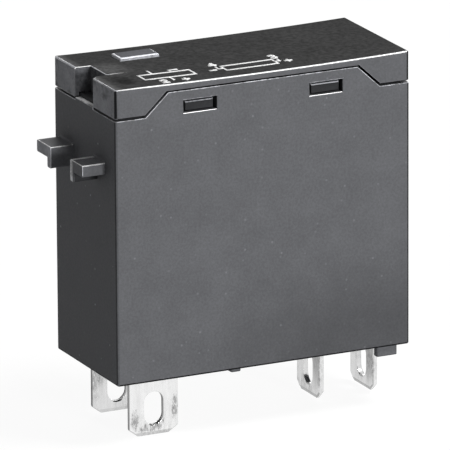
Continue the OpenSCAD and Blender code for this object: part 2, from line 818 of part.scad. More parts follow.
module photocoupler_pins() {
    mid = coupler_up + coupler_h / 2;
    color("#c9cacc") on_front(coupler_x, coupler_z) for (s = [0, 1], t = [-1, 1])
        mirror([s, 0, 0]) translate([0, t * coupler_pitch / 2, 0]) {
            span([coupler_l / 2, -coupler_shoulder_w / 2, mid - coupler_pin_t / 2],
                 [coupler_row / 2, coupler_shoulder_w / 2, mid + coupler_pin_t / 2]);
            span([coupler_row / 2 - coupler_pin_t, -coupler_shoulder_w / 2, coupler_up],
                 [coupler_row / 2, coupler_shoulder_w / 2, mid]);
            span([coupler_row / 2 - coupler_pin_t, -coupler_pin_w / 2, -board_t - wire_proud],
                 [coupler_row / 2, coupler_pin_w / 2, coupler_up]);
        }
}

// Body, backplate, sheet, spreader and screw share one axis, square to the board
module transistor_axis_hole(r) {
    translate([0, transistor_l - transistor_hole_drop, -cut])
        cylinder(r = r, h = transistor_h + 2 * spreader_t + 2 * cut);
}

module output_transistor() {
    mould_h = transistor_h - backplate_t;
    color("#232427") on_back(transistor_x, transistor_z) difference() {
        translate([0, transistor_l / 2, transistor_up]) intersection() {
            translate([0, 0, mould_h / 2])
                cube([transistor_w, transistor_l, mould_h], center = true);
            along_y(transistor_l) polygon([
                [-transistor_w / 2, mould_h], [-transistor_w / 2, transistor_edge],
                [-transistor_w / 2 + transistor_edge, 0], [transistor_w / 2 - transistor_edge, 0],
                [transistor_w / 2, transistor_edge], [transistor_w / 2, mould_h]]);
        }
        transistor_axis_hole(transistor_hole_r);
    }
}

module transistor_backplate() {
    color("#b9babc") on_back(transistor_x, transistor_z) difference() {
        span([-transistor_w / 2 + backplate_inset, backplate_inset, transistor_up + transistor_h - backplate_t],
             [transistor_w / 2 - backplate_inset, transistor_l - backplate_inset, transistor_up + transistor_h]);
        transistor_axis_hole(transistor_hole_r);
    }
}

module transistor_leads() {
    high = transistor_up + transistor_h - transistor_lead_set;
    color("#c9cacc") on_back(transistor_x, transistor_z)
        for (i = [-1:1]) translate([i * transistor_lead_pitch, 0, 0]) along_x(transistor_lead_w) polygon([
            [0, high], [-transistor_lead_drop - transistor_lead_t / 2, high],
            [-transistor_lead_drop - transistor_lead_t / 2, -board_t - wire_proud],
            [-transistor_lead_drop + transistor_lead_t / 2, -board_t - wire_proud],
            [-transistor_lead_drop + transistor_lead_t / 2, high - transistor_lead_t],
            [0, high - transistor_lead_t]]);
}

module insulating_sheet() {
    z = transistor_up + transistor_h;
    color("#c9b98e") on_back(transistor_x, transistor_z) difference() {
        span([-transistor_w / 2 - sheet_margin, -sheet_margin, z],
             [transistor_w / 2 + sheet_margin, transistor_l + sheet_margin, z + sheet_t]);
        transistor_axis_hole(transistor_hole_r);
    }
}

module heat_spreader() {
    y = board_t / 2 + transistor_up + transistor_h + sheet_t;
    color("#b4b7ba") difference() {
        translate([0, y + spreader_t / 2, 0]) along_y(spreader_t) polygon([
            [spreader_left, floor_t], [spreader_right, floor_t],
            [spreader_right, spreader_top - spreader_corner],
            [spreader_right - spreader_corner, spreader_top],
            [spreader_left + spreader_corner, spreader_top],
            [spreader_left, spreader_top - spreader_corner]]);
        on_back(transistor_x, transistor_z) transistor_axis_hole(screw_r + screw_gap);
    }
}

module spreader_screw() {
    seat = transistor_up;
    length = transistor_h + sheet_t + spreader_t;
    color("#d3d4d6") on_back(transistor_x, transistor_z)
        translate([0, transistor_l - transistor_hole_drop, seat]) {
            cylinder(r = screw_r, h = length);
            difference() {
                rotate_extrude() {
                    translate([0, -screw_head_h]) square([screw_head_r - screw_round, screw_head_h]);
                    translate([0, -screw_head_h + screw_round])
                        square([screw_head_r, screw_head_h - screw_round]);
                    translate([screw_head_r - screw_round, -screw_head_h + screw_round])
                        circle(r = screw_round, $fn = 32);
                }
                for (turn = [0, 90]) rotate([0, 0, turn])
                    translate([-screw_cross_l / 2, -screw_cross_w / 2, -screw_head_h - cut])
                        cube([screw_cross_l, screw_cross_w, screw_cross_d + cut]);
            }
        }
}

module indicator_led() {
    color("#b8402e") translate([lens_x, lens_y, led_z]) {
        cylinder(r = led_flange_r, h = led_flange_h);
        cylinder(r = led_r, h = led_h - led_r);
        translate([0, 0, led_h - led_r]) sphere(r = led_r);
    }
}

// A round wire that runs down, turns a corner and goes on along its local X
module elbow(bend_r, r) {
    translate([bend_r, 0, 0]) rotate([90, 0, 0]) rotate([0, 0, 180])
        rotate_extrude(angle = 90) translate([bend_r, 0]) circle(r = r, $fn = 24);
}

module led_leads() {
    low = led_z - led_stub;
    reach = lens_y - led_bend_r + board_t / 2 + wire_proud;
    color("#c9cacc") for (s = [-1, 1]) translate([lens_x + s * led_pitch / 2, lens_y, low]) {
        cylinder(r = wire_r, h = led_stub, $fn = 24);
        rotate([0, 0, -90]) elbow(led_bend_r, wire_r);
        translate([0, -led_bend_r, -led_bend_r]) rotate([90, 0, 0])
            cylinder(r = wire_r, h = reach, $fn = 24);
    }
}

// Leads of a part that lies along its local X, from the body's ends down through the board
module axial_leads(body_l, pitch, up) {
    run = pitch / 2 - axial_bend_r - body_l / 2;
    for (s = [0, 1]) mirror([s, 0, 0]) {
        translate([body_l / 2, 0, up]) rotate([0, 90, 0]) cylinder(r = wire_r, h = run, $fn = 24);
        translate([pitch / 2, 0, up - axial_bend_r]) mirror([1, 0, 0]) mirror([0, 0, 1])
            elbow(axial_bend_r, wire_r);
        translate([pitch / 2, 0, -board_t - wire_proud])
            cylinder(r = wire_r, h = board_t + wire_proud + up - axial_bend_r, $fn = 24);
    }
}

module input_resistor() {
    color("#c8b08a") on_front(resistor_x, resistor_z, 90)
        translate([0, 0, axial_up + resistor_r]) rotate([0, 90, 0]) {
            cylinder(r = resistor_waist_r, h = resistor_l, center = true);
            for (s = [-1, 1]) translate([0, 0, s * (resistor_l - resistor_cap_l) / 2])
                cylinder(r = resistor_r, h = resistor_cap_l, center = true);
        }
}

module input_resistor_leads() {
    color("#c9cacc") on_front(resistor_x, resistor_z, 90)
        axial_leads(resistor_l, resistor_pitch, axial_up + resistor_r);
}

module reverse_diode() {
    color("#b5612f") on_front(diode_x, diode_z, 90) translate([0, 0, axial_up + diode_r])
        rotate([0, 90, 0]) cylinder(r = diode_r, h = diode_l, center = true);
}

module reverse_diode_leads() {
    color("#c9cacc") on_front(diode_x, diode_z, 90)
        axial_leads(diode_l, diode_pitch, axial_up + diode_r);
}

module clamp_diode() {
    color("#2a2b2e") on_front(clamp_x, clamp_z) translate([0, 0, axial_up + clamp_r])
        rotate([0, 90, 0]) cylinder(r = clamp_r, h = clamp_l, center = true);
}

module clamp_diode_leads() {
    color("#c9cacc") on_front(clamp_x, clamp_z) axial_leads(clamp_l, clamp_pitch, axial_up + clamp_r);
}

module varistor_disc() {
    translate([0, 0, varistor_up]) rotate_extrude($fn = 64) {
        square([varistor_r - varistor_round, varistor_h]);
        translate([0, varistor_round]) square([varistor_r, varistor_h - 2 * varistor_round]);
        for (z = [varistor_round, varistor_h - varistor_round])
            translate([varistor_r - varistor_round, z]) circle(r = varistor_round, $fn = 32);
    }
}

module surge_varistor() {
    color("#2f5f9e") on_front(varistor_x, varistor_z) varistor_disc();
}

module varistor_leads() {
    up = varistor_up + varistor_h / 2;
    drop = varistor_z - varistor_bend_z - axial_bend_r;
    color("#c9cacc") on_front(varistor_x, varistor_z) difference() {
        for (s = [-1, 1]) translate([s * varistor_pitch / 2, 0, 0]) {
            translate([0, -drop, up]) rotate([-90, 0, 0])
                cylinder(r = varistor_wire_r, h = drop, $fn = 24);
            translate([0, -drop - axial_bend_r, up - axial_bend_r]) rotate([0, 0, 90])
                mirror([0, 0, 1]) elbow(axial_bend_r, varistor_wire_r);
            translate([0, -drop - axial_bend_r, -board_t - wire_proud])
                cylinder(r = varistor_wire_r, h = board_t + wire_proud + up - axial_bend_r, $fn = 24);
        }
        varistor_disc();
    }
}

module film_capacitor() {
    color("#a8442c") on_front(capacitor_x, capacitor_z) translate([0, 0, capacitor_up])
        linear_extrude(height = capacitor_h) round_rect(capacitor_l, capacitor_w, capacitor_edge_r);
}

module capacitor_leads() {
    color("#c9cacc") on_front(capacitor_x, capacitor_z) for (s = [-1, 1])
        translate([s * capacitor_pitch / 2, 0, -board_t - wire_proud])
            cylinder(r = wire_r, h = board_t + wire_proud + capacitor_up, $fn = 24);
}

module driver_chip() {
    color("#26272a") on_back(chip_x, chip_z) translate([0, 0, chip_up])
        moulded_body(chip_w, chip_l, chip_h, coupler_draft);
}

module driver_chip_pins() {
    mid = chip_up + chip_h / 2;
    color("#c9cacc") on_back(chip_x, chip_z) for (s = [0, 1], i = [0:3]) mirror([s, 0, 0])
        translate([0, (i - 3 / 2) * chip_pin_pitch, 0]) along_y(chip_pin_w) polygon([
            [chip_w / 2, mid], [chip_w / 2, mid - chip_pin_t],
            [chip_span / 2 - chip_foot - chip_pin_t, mid - chip_pin_t],
            [chip_span / 2 - chip_foot - chip_pin_t, 0], [chip_span / 2, 0],
            [chip_span / 2, chip_pin_t], [chip_span / 2 - chip_foot, chip_pin_t],
            [chip_span / 2 - chip_foot, mid]]);
}

module chip_resistors() {
    color("#1f2022") for (i = [0:smd_count - 1]) on_back(smd_x, smd_z + i * smd_step)
        translate([0, 0, smd_h / 2]) cube([smd_body_l, smd_w, smd_h - 2 * smd_skin], center = true);
}

module chip_resistor_ends() {
    color("#d0d1d3") for (i = [0:smd_count - 1]) on_back(smd_x, smd_z + i * smd_step)
        for (s = [-1, 1]) translate([s * (smd_body_l + smd_end_l) / 2, 0, smd_h / 2])
            cube([smd_end_l, smd_w, smd_h], center = true);
}

// A fillet in the corner between two faces, along its local Z
module solder_fillet(h) {
    linear_extrude(height = h) polygon([[0, 0], [fillet_leg, 0], [0, fillet_leg]]);
}

module blade_solder() {
    fork_x = blade_t / 2;
    h = prong_h - fork_root_h;
    color("#bfc1c4") {
        front_and_back() translate([0, board_t / 2, board_z + fork_root_h / 2]) {
            translate([output_inner_x + fork_x, 0, 0]) solder_fillet(h);
            for (x = [output_inner_x, output_outer_x])
                translate([x - fork_x, 0, 0]) mirror([1, 0, 0]) solder_fillet(h);
        }
        for (s = [0, 1]) translate([input_x, 0, 0]) rotate([0, 0, 180 * s])
            translate([-stem_shift, board_t / 2, arm_z]) {
                translate([-stem_w / 2, 0, blade_t]) rotate([0, 90, 0]) rotate([0, 0, 90])
                    solder_fillet(stem_w);
                translate([-stem_w / 2, 0, 0]) rotate([0, 90, 0]) solder_fillet(stem_w);
            }
    }
}

// A cone of solder round each lead, with the lead's own hole in it
module lead_solder() {
    color("#bfc1c4") for (j = wire_joints)
        translate([j[0], j[2] * board_t / 2, j[1]]) rotate([-90 * j[2], 0, 0]) difference() {
            cylinder(r1 = solder_r, r2 = solder_r / 2, h = solder_h, $fn = 24);
            if (j[4] == 0)
                translate([0, 0, -cut]) cylinder(r = j[3] + solder_gap, h = solder_h + 2 * cut, $fn = 24);
            else
                cube([2 * (j[3] + solder_gap), 2 * (j[4] + solder_gap), 2 * (solder_h + cut)], center = true);
        }
}

case();
lid();
indicator_lens();
input_blade_front();
input_blade_back();
output_blade_inner();
output_blade_outer();
circuit_board();
photocoupler();
photocoupler_pins();
output_transistor();
transistor_backplate();
transistor_leads();
insulating_sheet();
heat_spreader();
spreader_screw();
indicator_led();
led_leads();
input_resistor();
input_resistor_leads();
reverse_diode();
reverse_diode_leads();
clamp_diode();
clamp_diode_leads();
surge_varistor();
varistor_leads();
film_capacitor();
capacitor_leads();
driver_chip();
driver_chip_pins();
chip_resistors();
chip_resistor_ends();
blade_solder();
lead_solder();
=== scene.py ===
# Looks for the slim plug-in relay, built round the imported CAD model, in metres and in its frame.
import json
import math

import bmesh
import bpy
from mathutils import Matrix, Vector


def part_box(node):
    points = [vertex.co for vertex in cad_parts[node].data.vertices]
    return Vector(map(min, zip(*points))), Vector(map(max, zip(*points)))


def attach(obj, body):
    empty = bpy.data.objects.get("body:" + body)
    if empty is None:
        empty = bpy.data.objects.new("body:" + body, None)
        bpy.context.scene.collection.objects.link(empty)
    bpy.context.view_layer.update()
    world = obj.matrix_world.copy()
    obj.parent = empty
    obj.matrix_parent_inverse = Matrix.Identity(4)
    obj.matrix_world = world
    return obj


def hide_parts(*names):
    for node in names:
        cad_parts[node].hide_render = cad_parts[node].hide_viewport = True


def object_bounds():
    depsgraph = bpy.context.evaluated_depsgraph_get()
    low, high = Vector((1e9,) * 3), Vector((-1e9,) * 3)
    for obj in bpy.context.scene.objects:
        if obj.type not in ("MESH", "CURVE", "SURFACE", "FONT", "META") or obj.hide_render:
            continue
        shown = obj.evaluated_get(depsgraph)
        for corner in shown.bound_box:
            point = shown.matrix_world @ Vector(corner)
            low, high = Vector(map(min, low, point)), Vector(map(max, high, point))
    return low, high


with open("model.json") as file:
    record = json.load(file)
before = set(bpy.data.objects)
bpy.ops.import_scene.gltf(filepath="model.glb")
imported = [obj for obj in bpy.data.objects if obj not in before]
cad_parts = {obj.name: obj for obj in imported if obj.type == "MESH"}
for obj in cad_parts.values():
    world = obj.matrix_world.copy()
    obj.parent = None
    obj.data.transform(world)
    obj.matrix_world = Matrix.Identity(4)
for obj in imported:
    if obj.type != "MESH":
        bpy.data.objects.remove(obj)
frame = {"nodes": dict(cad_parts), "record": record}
cad_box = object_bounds()
MM = 0.001
world = bpy.data.worlds.new("studio")
bpy.context.scene.world = world

# Sockets of a colour Mix node, which has several of each name
MIX_FACTOR = 0
MIX_FIRST = 6
MIX_SECOND = 7
MIX_RESULT = 2

# Scales of the noises, in waves per metre
CLOUD_SCALE = 300
SMUDGE_SCALE = 560
BREAK_SCALE = 1500
SPECK_SCALE = 1100
STREAK_SCALE = 2600
PATCH_SCALE = 520
SPECKLE_SCALE = 5200
WEAR_SCALE = 2200
PIT_SCALE = 6000
GRAIN_SCALE = 4200
COARSE_GRAIN = 2600

# Depths in mm of smooth plastic's grain and of the tin's pits, how much a smudge's ball counts, and how
# many times finer the grain of another finish is than its clouds
SMOOTH_GRAIN = 0.002
PIT_DEPTH = 0.003
SMUDGE_WEIGHT = 0.6
FINER = 9

# Material numbers that stand for a softened edge and for a coined tip's edge until a face is painted
EDGE_MARK = 15
TIP_MARK = 14

# Parts of a face's normal along an axis: nearly along it, halfway, leaning and slightly turned, and the
# least of both parts on a rounded upright corner
STRAIGHT = 0.9
HALFWAY = 0.5
LEANING = 0.3
TURNED = 0.2
ROUNDED = 0.12

# Widths of the softened edges in mm
HOUSING_EDGE = 0.06
LENS_EDGE = 0.09
TIP_EDGE = 0.11
BLADE_EDGE = 0.04

# Tolerances in metres and degrees
WELD_DISTANCE = 1e-7
CUT_DISTANCE = 1e-8
FLAT_ANGLE = 0.5
SHARP_ANGLE = 30


def grey(value):
    return (value, value, value)


def cool(value):
    return (value * 0.98, value, value * 1.07)


# Node tree of one material. A helper that makes a value or a colour returns its output socket.
class Tree:
    def __init__(self, name):
        self.material = bpy.data.materials.new(name)
        self.material.use_nodes = True
        self.tree = self.material.node_tree
        self.tree.nodes.clear()
        self.surface = self.add("ShaderNodeOutputMaterial").inputs["Surface"]
        self.shader = self.add("ShaderNodeBsdfPrincipled")
        self.join(self.shader.outputs["BSDF"], self.surface)
        self.place = self.add("ShaderNodeTexCoord").outputs["Object"]

    def add(self, kind, **values):
        made = self.tree.nodes.new(kind)
        for key, value in values.items():
            setattr(made, key, value)
        return made

    def join(self, source, target):
        self.tree.links.new(source, target)

    def mapped(self, location, scale):
        made = self.add("ShaderNodeMapping")
        made.inputs["Location"].default_value = location
        made.inputs["Scale"].default_value = scale
        self.join(self.place, made.inputs["Vector"])
        return made.outputs["Vector"]

    def noise(self, scale, detail, roughness, stretch=None):
        made = self.add("ShaderNodeTexNoise")
        made.inputs["Scale"].default_value = scale
        made.inputs["Detail"].default_value = detail
        made.inputs["Roughness"].default_value = roughness
        where = self.mapped((0, 0, 0), stretch) if stretch else self.place
        self.join(where, made.inputs["Vector"])
        return made.outputs["Fac"]

    # 1 at the centre of an ellipsoid and 0 from its reach on, both in mm
    def ball(self, centre, reach):
        location = [-at / wide for at, wide in zip(centre, reach)]
        near = self.mapped(location, [1 / (wide * MM) for wide in reach])
        made = self.add("ShaderNodeTexGradient", gradient_type="SPHERICAL")
        self.join(near, made.inputs["Vector"])
        return made.outputs["Fac"]

    # Two stops, each a value from 0 to 1 and its colour
    def ramp(self, value, *stops):
        made = self.add("ShaderNodeValToRGB")
        for element, (position, colour) in zip(made.color_ramp.elements, stops):
            element.position = position
            element.color = (*colour, 1.0)
        self.join(value, made.inputs["Fac"])
        return made.outputs["Color"]

    def blend(self, factor, first, second):
        made = self.add("ShaderNodeMix", data_type="RGBA", blend_type="MIX")
        self.join(factor, made.inputs[MIX_FACTOR])
        self.join(first, made.inputs[MIX_FIRST])
        self.join(second, made.inputs[MIX_SECOND])
        return made.outputs[MIX_RESULT]

    def times(self, first, second):
        made = self.add("ShaderNodeMix", data_type="RGBA", blend_type="MULTIPLY")
        made.inputs[MIX_FACTOR].default_value = 1.0
        self.join(first, made.inputs[MIX_FIRST])
        self.join(second, made.inputs[MIX_SECOND])
        return made.outputs[MIX_RESULT]

    # A colour made darker or lighter inside a ball
    def shaded(self, colour, centre, reach, strength):
        ball = self.ball(centre, reach)
        return self.times(colour, self.ramp(ball, (0.08, grey(1.0)), (0.7, grey(strength))))

    def colour_from(self, colour):
        self.join(colour, self.shader.inputs["Base Color"])

    def rough_from(self, value, low, high):
        spread = self.add("ShaderNodeMapRange")
        spread.inputs["To Min"].default_value = low
        spread.inputs["To Max"].default_value = high
        self.join(value, spread.inputs["Value"])
        self.join(spread.outputs["Result"], self.shader.inputs["Roughness"])

    def bump_from(self, value, depth):
        bump = self.add("ShaderNodeBump")
        bump.inputs["Distance"].default_value = depth
        self.join(value, bump.inputs["Height"])
        self.join(bump.outputs["Normal"], self.shader.inputs["Normal"])


# Moulded housing: soft clouds, a fine grain and sparse pale specks. A speck is so many times the tone,
# few is the share of cells without one, smudge is how dark the worn patches are, broken is how dark the
# gaps are that break a painted highlight into dashes, and each spot is a ball with its strength, which
# makes the colour darker or lighter there.
def plastic(name, tone, mottle=0.1, speck=1.8, few=0.84, smudge=0.0, broken=0.0, rough=(0.6, 0.72),
            grain=0.006, specular=0.2, tint=cool, depth=0.1, size=GRAIN_SCALE, spots=()):
    t = Tree(name)
    cloud = t.noise(CLOUD_SCALE, 4, 0.6)
    base = t.ramp(cloud, (0.3, tint(tone * (1 - mottle))), (0.7, tint(tone * (1 + mottle))))
    fine = t.noise(size, 3, 0.7)
    mixed = t.times(base, t.ramp(fine, (0.36, grey(1 - depth)), (0.64, grey(1 + depth))))
    if smudge:
        patch = t.noise(SMUDGE_SCALE, 4, 0.65)
        mixed = t.times(mixed, t.ramp(patch, (0.5, grey(1.0)), (0.66, grey(1 - smudge))))
    if broken:
        patch = t.noise(BREAK_SCALE, 3, 0.7)
        mixed = t.times(mixed, t.ramp(patch, (0.42, grey(1 - broken)), (0.58, grey(1.0))))
    if speck:
        cells = t.add("ShaderNodeTexVoronoi")
        cells.inputs["Scale"].default_value = SPECK_SCALE
        t.join(t.place, cells.inputs["Vector"])
        dots = t.ramp(cells.outputs["Distance"], (0.07, grey(1.0)), (0.15, grey(0.0)))
        some = t.ramp(cells.outputs["Color"], (few - 0.06, grey(0.0)), (few + 0.06, grey(1.0)))
        mask = t.times(dots, some)
        pale = t.ramp(fine, (0.0, tint(tone * speck)), (1.0, tint(tone * speck * 0.8)))
        mixed = t.blend(mask, mixed, pale)
    for centre, reach, strength in spots:
        mixed = t.shaded(mixed, centre, reach, strength)
    t.colour_from(mixed)
    t.rough_from(cloud, *rough)
    t.bump_from(fine, grain * MM)
    t.shader.inputs["Specular IOR Level"].default_value = specular
    return t.material


# Smooth plastic without specks, for the painted highlights on softened edges and for the lens, whose
# walls, ends and rim carry painted light
def smooth(name, tone, mottle, rough, specular, **values):
    return plastic(name, tone, mottle=mottle, speck=0, rough=rough, grain=SMOOTH_GRAIN, specular=specular,
                   **values)


# Bright tin: drawn lines along the blade, dull speckled patches and tiny pits. Smudges are balls, and
# shades are balls with a strength.
def tin(name, tone, smudge=0.75, rough=(0.12, 0.3), smudges=(), shades=()):
    t = Tree(name)
    t.shader.inputs["Metallic"].default_value = 1.0
    streak = t.noise(STREAK_SCALE, 3, 0.65, (1.0, 1.0, 0.1))
    patch = t.noise(PATCH_SCALE, 3, 0.6, (1.0, 1.0, 0.5))
    speckle = t.noise(SPECKLE_SCALE, 3, 0.75, (1.0, 1.0, 0.4))
    bright = t.ramp(streak, (0.3, grey(tone * 0.9)), (0.62, grey(tone)))
    dull = t.ramp(speckle, (0.38, grey(tone * 0.12)), (0.58, grey(tone * 0.85)))
    mixed = t.blend(t.ramp(patch, (0.47, grey(0.0)), (0.6, grey(smudge))), bright, dull)
    wear = t.noise(WEAR_SCALE, 4, 0.75, (1.0, 1.0, 0.7))
    for centre, reach in smudges:
        ball = t.ball(centre, reach)
        worn = t.add("ShaderNodeMath", operation="MULTIPLY_ADD")
        t.join(ball, worn.inputs[0])
        worn.inputs[1].default_value = SMUDGE_WEIGHT
        t.join(wear, worn.inputs[2])
        here = t.ramp(worn.outputs[0], (0.65, grey(0.0)), (0.82, grey(0.7)))
        mixed = t.blend(here, mixed, dull)
    for centre, reach, strength in shades:
        mixed = t.shaded(mixed, centre, reach, strength)
    t.colour_from(mixed)
    t.rough_from(patch, *rough)
    t.bump_from(t.noise(PIT_SCALE, 3, 0.6, (1.0, 1.0, 0.3)), PIT_DEPTH * MM)
    return t.material


# Any other finish: two tones, a grain and a gloss
def finish(name, low, high, scale=500, metal=0.0, rough=(0.35, 0.5), grain=0.004, coat=0.0):
    t = Tree(name)
    t.shader.inputs["Metallic"].default_value = metal
    t.shader.inputs["Coat Weight"].default_value = coat
    cloud = t.noise(scale, 4, 0.6)
    t.colour_from(t.ramp(cloud, (0.3, low), (0.7, high)))
    t.rough_from(cloud, *rough)
    t.bump_from(t.noise(scale * FINER, 2, 0.6), grain * MM)
    return t.material


# Balls as centre and reach in mm, with a strength. On the lid's top they make the painted shade of the
# shallow dish, a painted highlight along the left edge and the light patch behind the dish, and on the
# front side a painted shade on its lower right.
DISH_SHADE = ((-12.37, -3.79, 27.3), (1.35, 1.9, 20), 0.52)
LEFT_EDGE_HIGHLIGHT = ((-14.6, 0, 27.3), (1.1, 90, 90), 2.2)
LIGHT_PATCH = ((-11.9, 0.3, 27.3), (2.3, 2.8, 20), 1.8)
LOW_RIGHT_SHADE = ((11, -6.45, 0), (22, 8, 11), 0.66)

# The case's plastic carries the painted shade on the front's lower right
case_plastic = plastic("case_plastic", 0.12, spots=[LOW_RIGHT_SHADE])
# Darker copy of the case plastic for the case's left end face: painted shade, with its own denser specks
shaded_end_plastic = plastic("shaded_end_plastic", 0.093, speck=4, few=0.72)
lid_plastic = plastic("lid_plastic", 0.12, speck=1.5)
# The lid's top carries the painted shade of the dish and the painted highlight along its left edge
lid_top = plastic("lid_top", 0.07, mottle=0.12, speck=1.6, specular=0.0, tint=grey, depth=0.22, size=2300,
                  spots=[DISH_SHADE, LEFT_EDGE_HIGHLIGHT, LIGHT_PATCH])
# Lighter copy of the lid plastic for the lid's left-facing end faces: painted light, with darker smudges
lit_lid_end = plastic("lit_lid_end", 0.3, mottle=0.2, smudge=0.6)
# Lighter copy of the plastic for the back lug's end face: painted light, with darker smudges
lit_lug_end = plastic("lit_lug_end", 0.46, mottle=0.15, smudge=0.3)
# Near black for faces in the gaps between lid and case, in the window recesses and under the lid: painted
# shade
joint_dark = plastic("joint_dark", 0.008, speck=0, specular=0.0)
# Near black for rounded corners, the bottom edges, the lip and the standoff's edges: painted shade
corner_shade_plastic = plastic("corner_shade_plastic", 0.02, speck=0, specular=0.0)
notch_dark = plastic("notch_dark", 0.13, speck=4, few=0.7, specular=0.0, size=COARSE_GRAIN, depth=0.3)
# Dark for the hooks' faces, the notch floor, the front lug's web, the lip's left end and window sides:
# painted shade
deep_shade_plastic = plastic("deep_shade_plastic", 0.035, speck=2, specular=0.1)
# Lighter band on the top edges of the hooks in the left windows: painted highlight
hook_highlight = plastic("hook_highlight", 0.36, mottle=0.3, speck=0, specular=0.3, size=COARSE_GRAIN, depth=0.5)
# Light bevel faces on the lid's, lugs' and hooks' edges: painted highlight
edge_highlight = smooth("edge_highlight", 0.5, 0.15, (0.3, 0.4), 0.6)
# Near white for the lid's front top edge, the sills and the lugs' top edges: painted highlight
bright_highlight = smooth("bright_highlight", 0.86, 0.1, (0.25, 0.35), 0.8, tint=grey)
# Light line broken into dashes on the tongues' and rim's edges: painted highlight
broken_highlight = smooth("broken_highlight", 0.6, 0.15, (0.3, 0.4), 0.6, broken=0.75)
# Slightly lighter bevel faces on the lid's side and lower edges: soft painted highlight
soft_highlight = smooth("soft_highlight", 0.2, 0.15, (0.35, 0.45), 0.4)
lens_top = smooth("lens_top", 0.17, 0.06, (0.3, 0.4), 0.0)
# The lens's walls and end walls are lighter copies of its top, painted light, and its rim a painted
# highlight
lit_lens_wall = smooth("lit_lens_wall", 0.38, 0.2, (0.3, 0.4), 0.1, size=COARSE_GRAIN, depth=0.3)
lit_lens_side = smooth("lit_lens_side", 0.95, 0.05, (0.4, 0.5), 1.0)
lens_rim_highlight = smooth("lens_rim_highlight", 0.97, 0.03, (0.2, 0.3), 0.8)

# Smudges on the front input blade, and the shade on the output blades in front of their slots, in mm
SMUDGES = [((-11.75, -3.9, -4.2), (0.6, 3, 1.4)), ((-7.85, -3.9, -3.3), (0.5, 3, 1.7)),
           ((-10.2, -3.9, -5.0), (1.9, 3, 0.6)), ((-9.2, -3.9, -4.5), (0.5, 3, 0.8))]
SLOT_SHADE = ((10, -1.65, -1.9), (90, 1.25, 3.6), 0.6)
front_tin = tin("front_tin", 0.84, smudge=0.15, smudges=SMUDGES)
blade_tin = tin("blade_tin", 0.76, smudge=0.5)
output_tin = tin("output_tin", 0.7, smudge=0.5, shades=[SLOT_SHADE])
edge_tin = tin("edge_tin", 0.8, smudge=0.3)
tip_tin = tin("tip_tin", 0.42, smudge=0.3)
tip_light = tin("tip_light", 0.66, smudge=0.3)
blade_dark = tin("blade_dark", 0.035, rough=(0.4, 0.6))
blade_grey = tin("blade_grey", 0.4, rough=(0.35, 0.5))


# A clean copy of a CAD node: vertices welded and flat faces joined
def clean_copy(node):
    bm = bmesh.new()
    bm.from_mesh(frame["nodes"][node].data)
    bmesh.ops.remove_doubles(bm, verts=bm.verts, dist=WELD_DISTANCE)
    bmesh.ops.dissolve_limit(bm, angle_limit=math.radians(FLAT_ANGLE), verts=bm.verts, edges=bm.edges)
    return bm


def cut(bm, parts, place, across):
    bmesh.ops.bisect_plane(bm, geom=parts, dist=CUT_DISTANCE, plane_co=place, plane_no=across)


def all_parts(bm):
    return bm.verts[:] + bm.edges[:] + bm.faces[:]


# Bevels the convex edges of at least the lowest angle in degrees, and gives the new faces a mark
def soften(bm, width, mark, lowest=35, segments=2, leave=None):
    chosen = []
    for edge in bm.edges:
        if len(edge.link_faces) != 2 or not edge.is_convex:
            continue
        if edge.calc_face_angle(0) < math.radians(lowest):
            continue
        if leave and leave(edge):
            continue
        chosen.append(edge)
    bmesh.ops.bevel(bm, geom=chosen, offset=width, offset_type="OFFSET", segments=segments,
                    profile=0.5, affect="EDGES", clamp_overlap=False, material=mark,
                    harden_normals=False)


# The lowest and the highest corner of a face's box, in mm
def limits(face):
    spots = [vert.co / MM for vert in face.verts]
    low = Vector([min(spot[i] for spot in spots) for i in range(3)])
    high = Vector([max(spot[i] for spot in spots) for i in range(3)])
    return low, high


# Gives each face the look that look_of names for it
def paint(bm, looks, look_of):
    names = list(looks)
    for face in bm.faces:
        face.material_index = names.index(look_of(face, face.material_index))


def finish_piece(bm, name, materials, node):
    mesh = bpy.data.meshes.new(name)
    bm.to_mesh(mesh)
    bm.free()
    for polygon in mesh.polygons:
        polygon.use_smooth = True
    mesh.set_sharp_from_angle(angle=math.radians(SHARP_ANGLE))
    for material in materials:
        mesh.materials.append(material)
    piece = bpy.data.objects.new(name, mesh)
    bpy.context.scene.collection.objects.link(piece)
    weighted = piece.modifiers.new("weighted", "WEIGHTED_NORMAL")
    weighted.keep_sharp = True
    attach(piece, "root")
    if node:
        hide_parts(node)
    return piece


# Places that tell the case's faces apart, in mm, most of them a little off the faces themselves
LUG_ROOT_X = -14.52
LUG_TOP_Z = 20.26
LUG_HEAD_Z = 19.9
LUG_WEB_Z = 19.2
LUG_INNER_Y = -2.4
LUG_CUT_Y = -2.33
FRONT_LUG_Y = -1.7
RIM_Z = 24.3
SLOPE_Z = 24.4
CHAMFER_Z = 24.42
SILL_LOW_Z = 24.6
SILL_TOP_Z = 24.7
LIP_X = 12.8
LIP_LEFT_X = -12
LIP_Y = 5.97
TONGUE_LOW_Z = 26.3
TONGUE_TOP_Z = 26.6
WALL_Y = 6.4
WINDOW_X = 6.2
WINDOW_HALF = 1.9
WINDOW_Y = 6.2
WINDOW_TOP_Z = 25.7
CORNER_X = 13.9
CORNER_Y = 6.1
BOTTOM_CORNER_Z = 0.3
BOTTOM_Z = 0.05
STANDOFF_LOW_Z = -0.1
STANDOFF_TOP_Z = 0.02
STANDOFF_X = 14.4


# How far a box reaches from the middle, along x and along y
def reach_of(low, high):
    return max(abs(low.x), abs(high.x)), max(abs(low.y), abs(high.y))


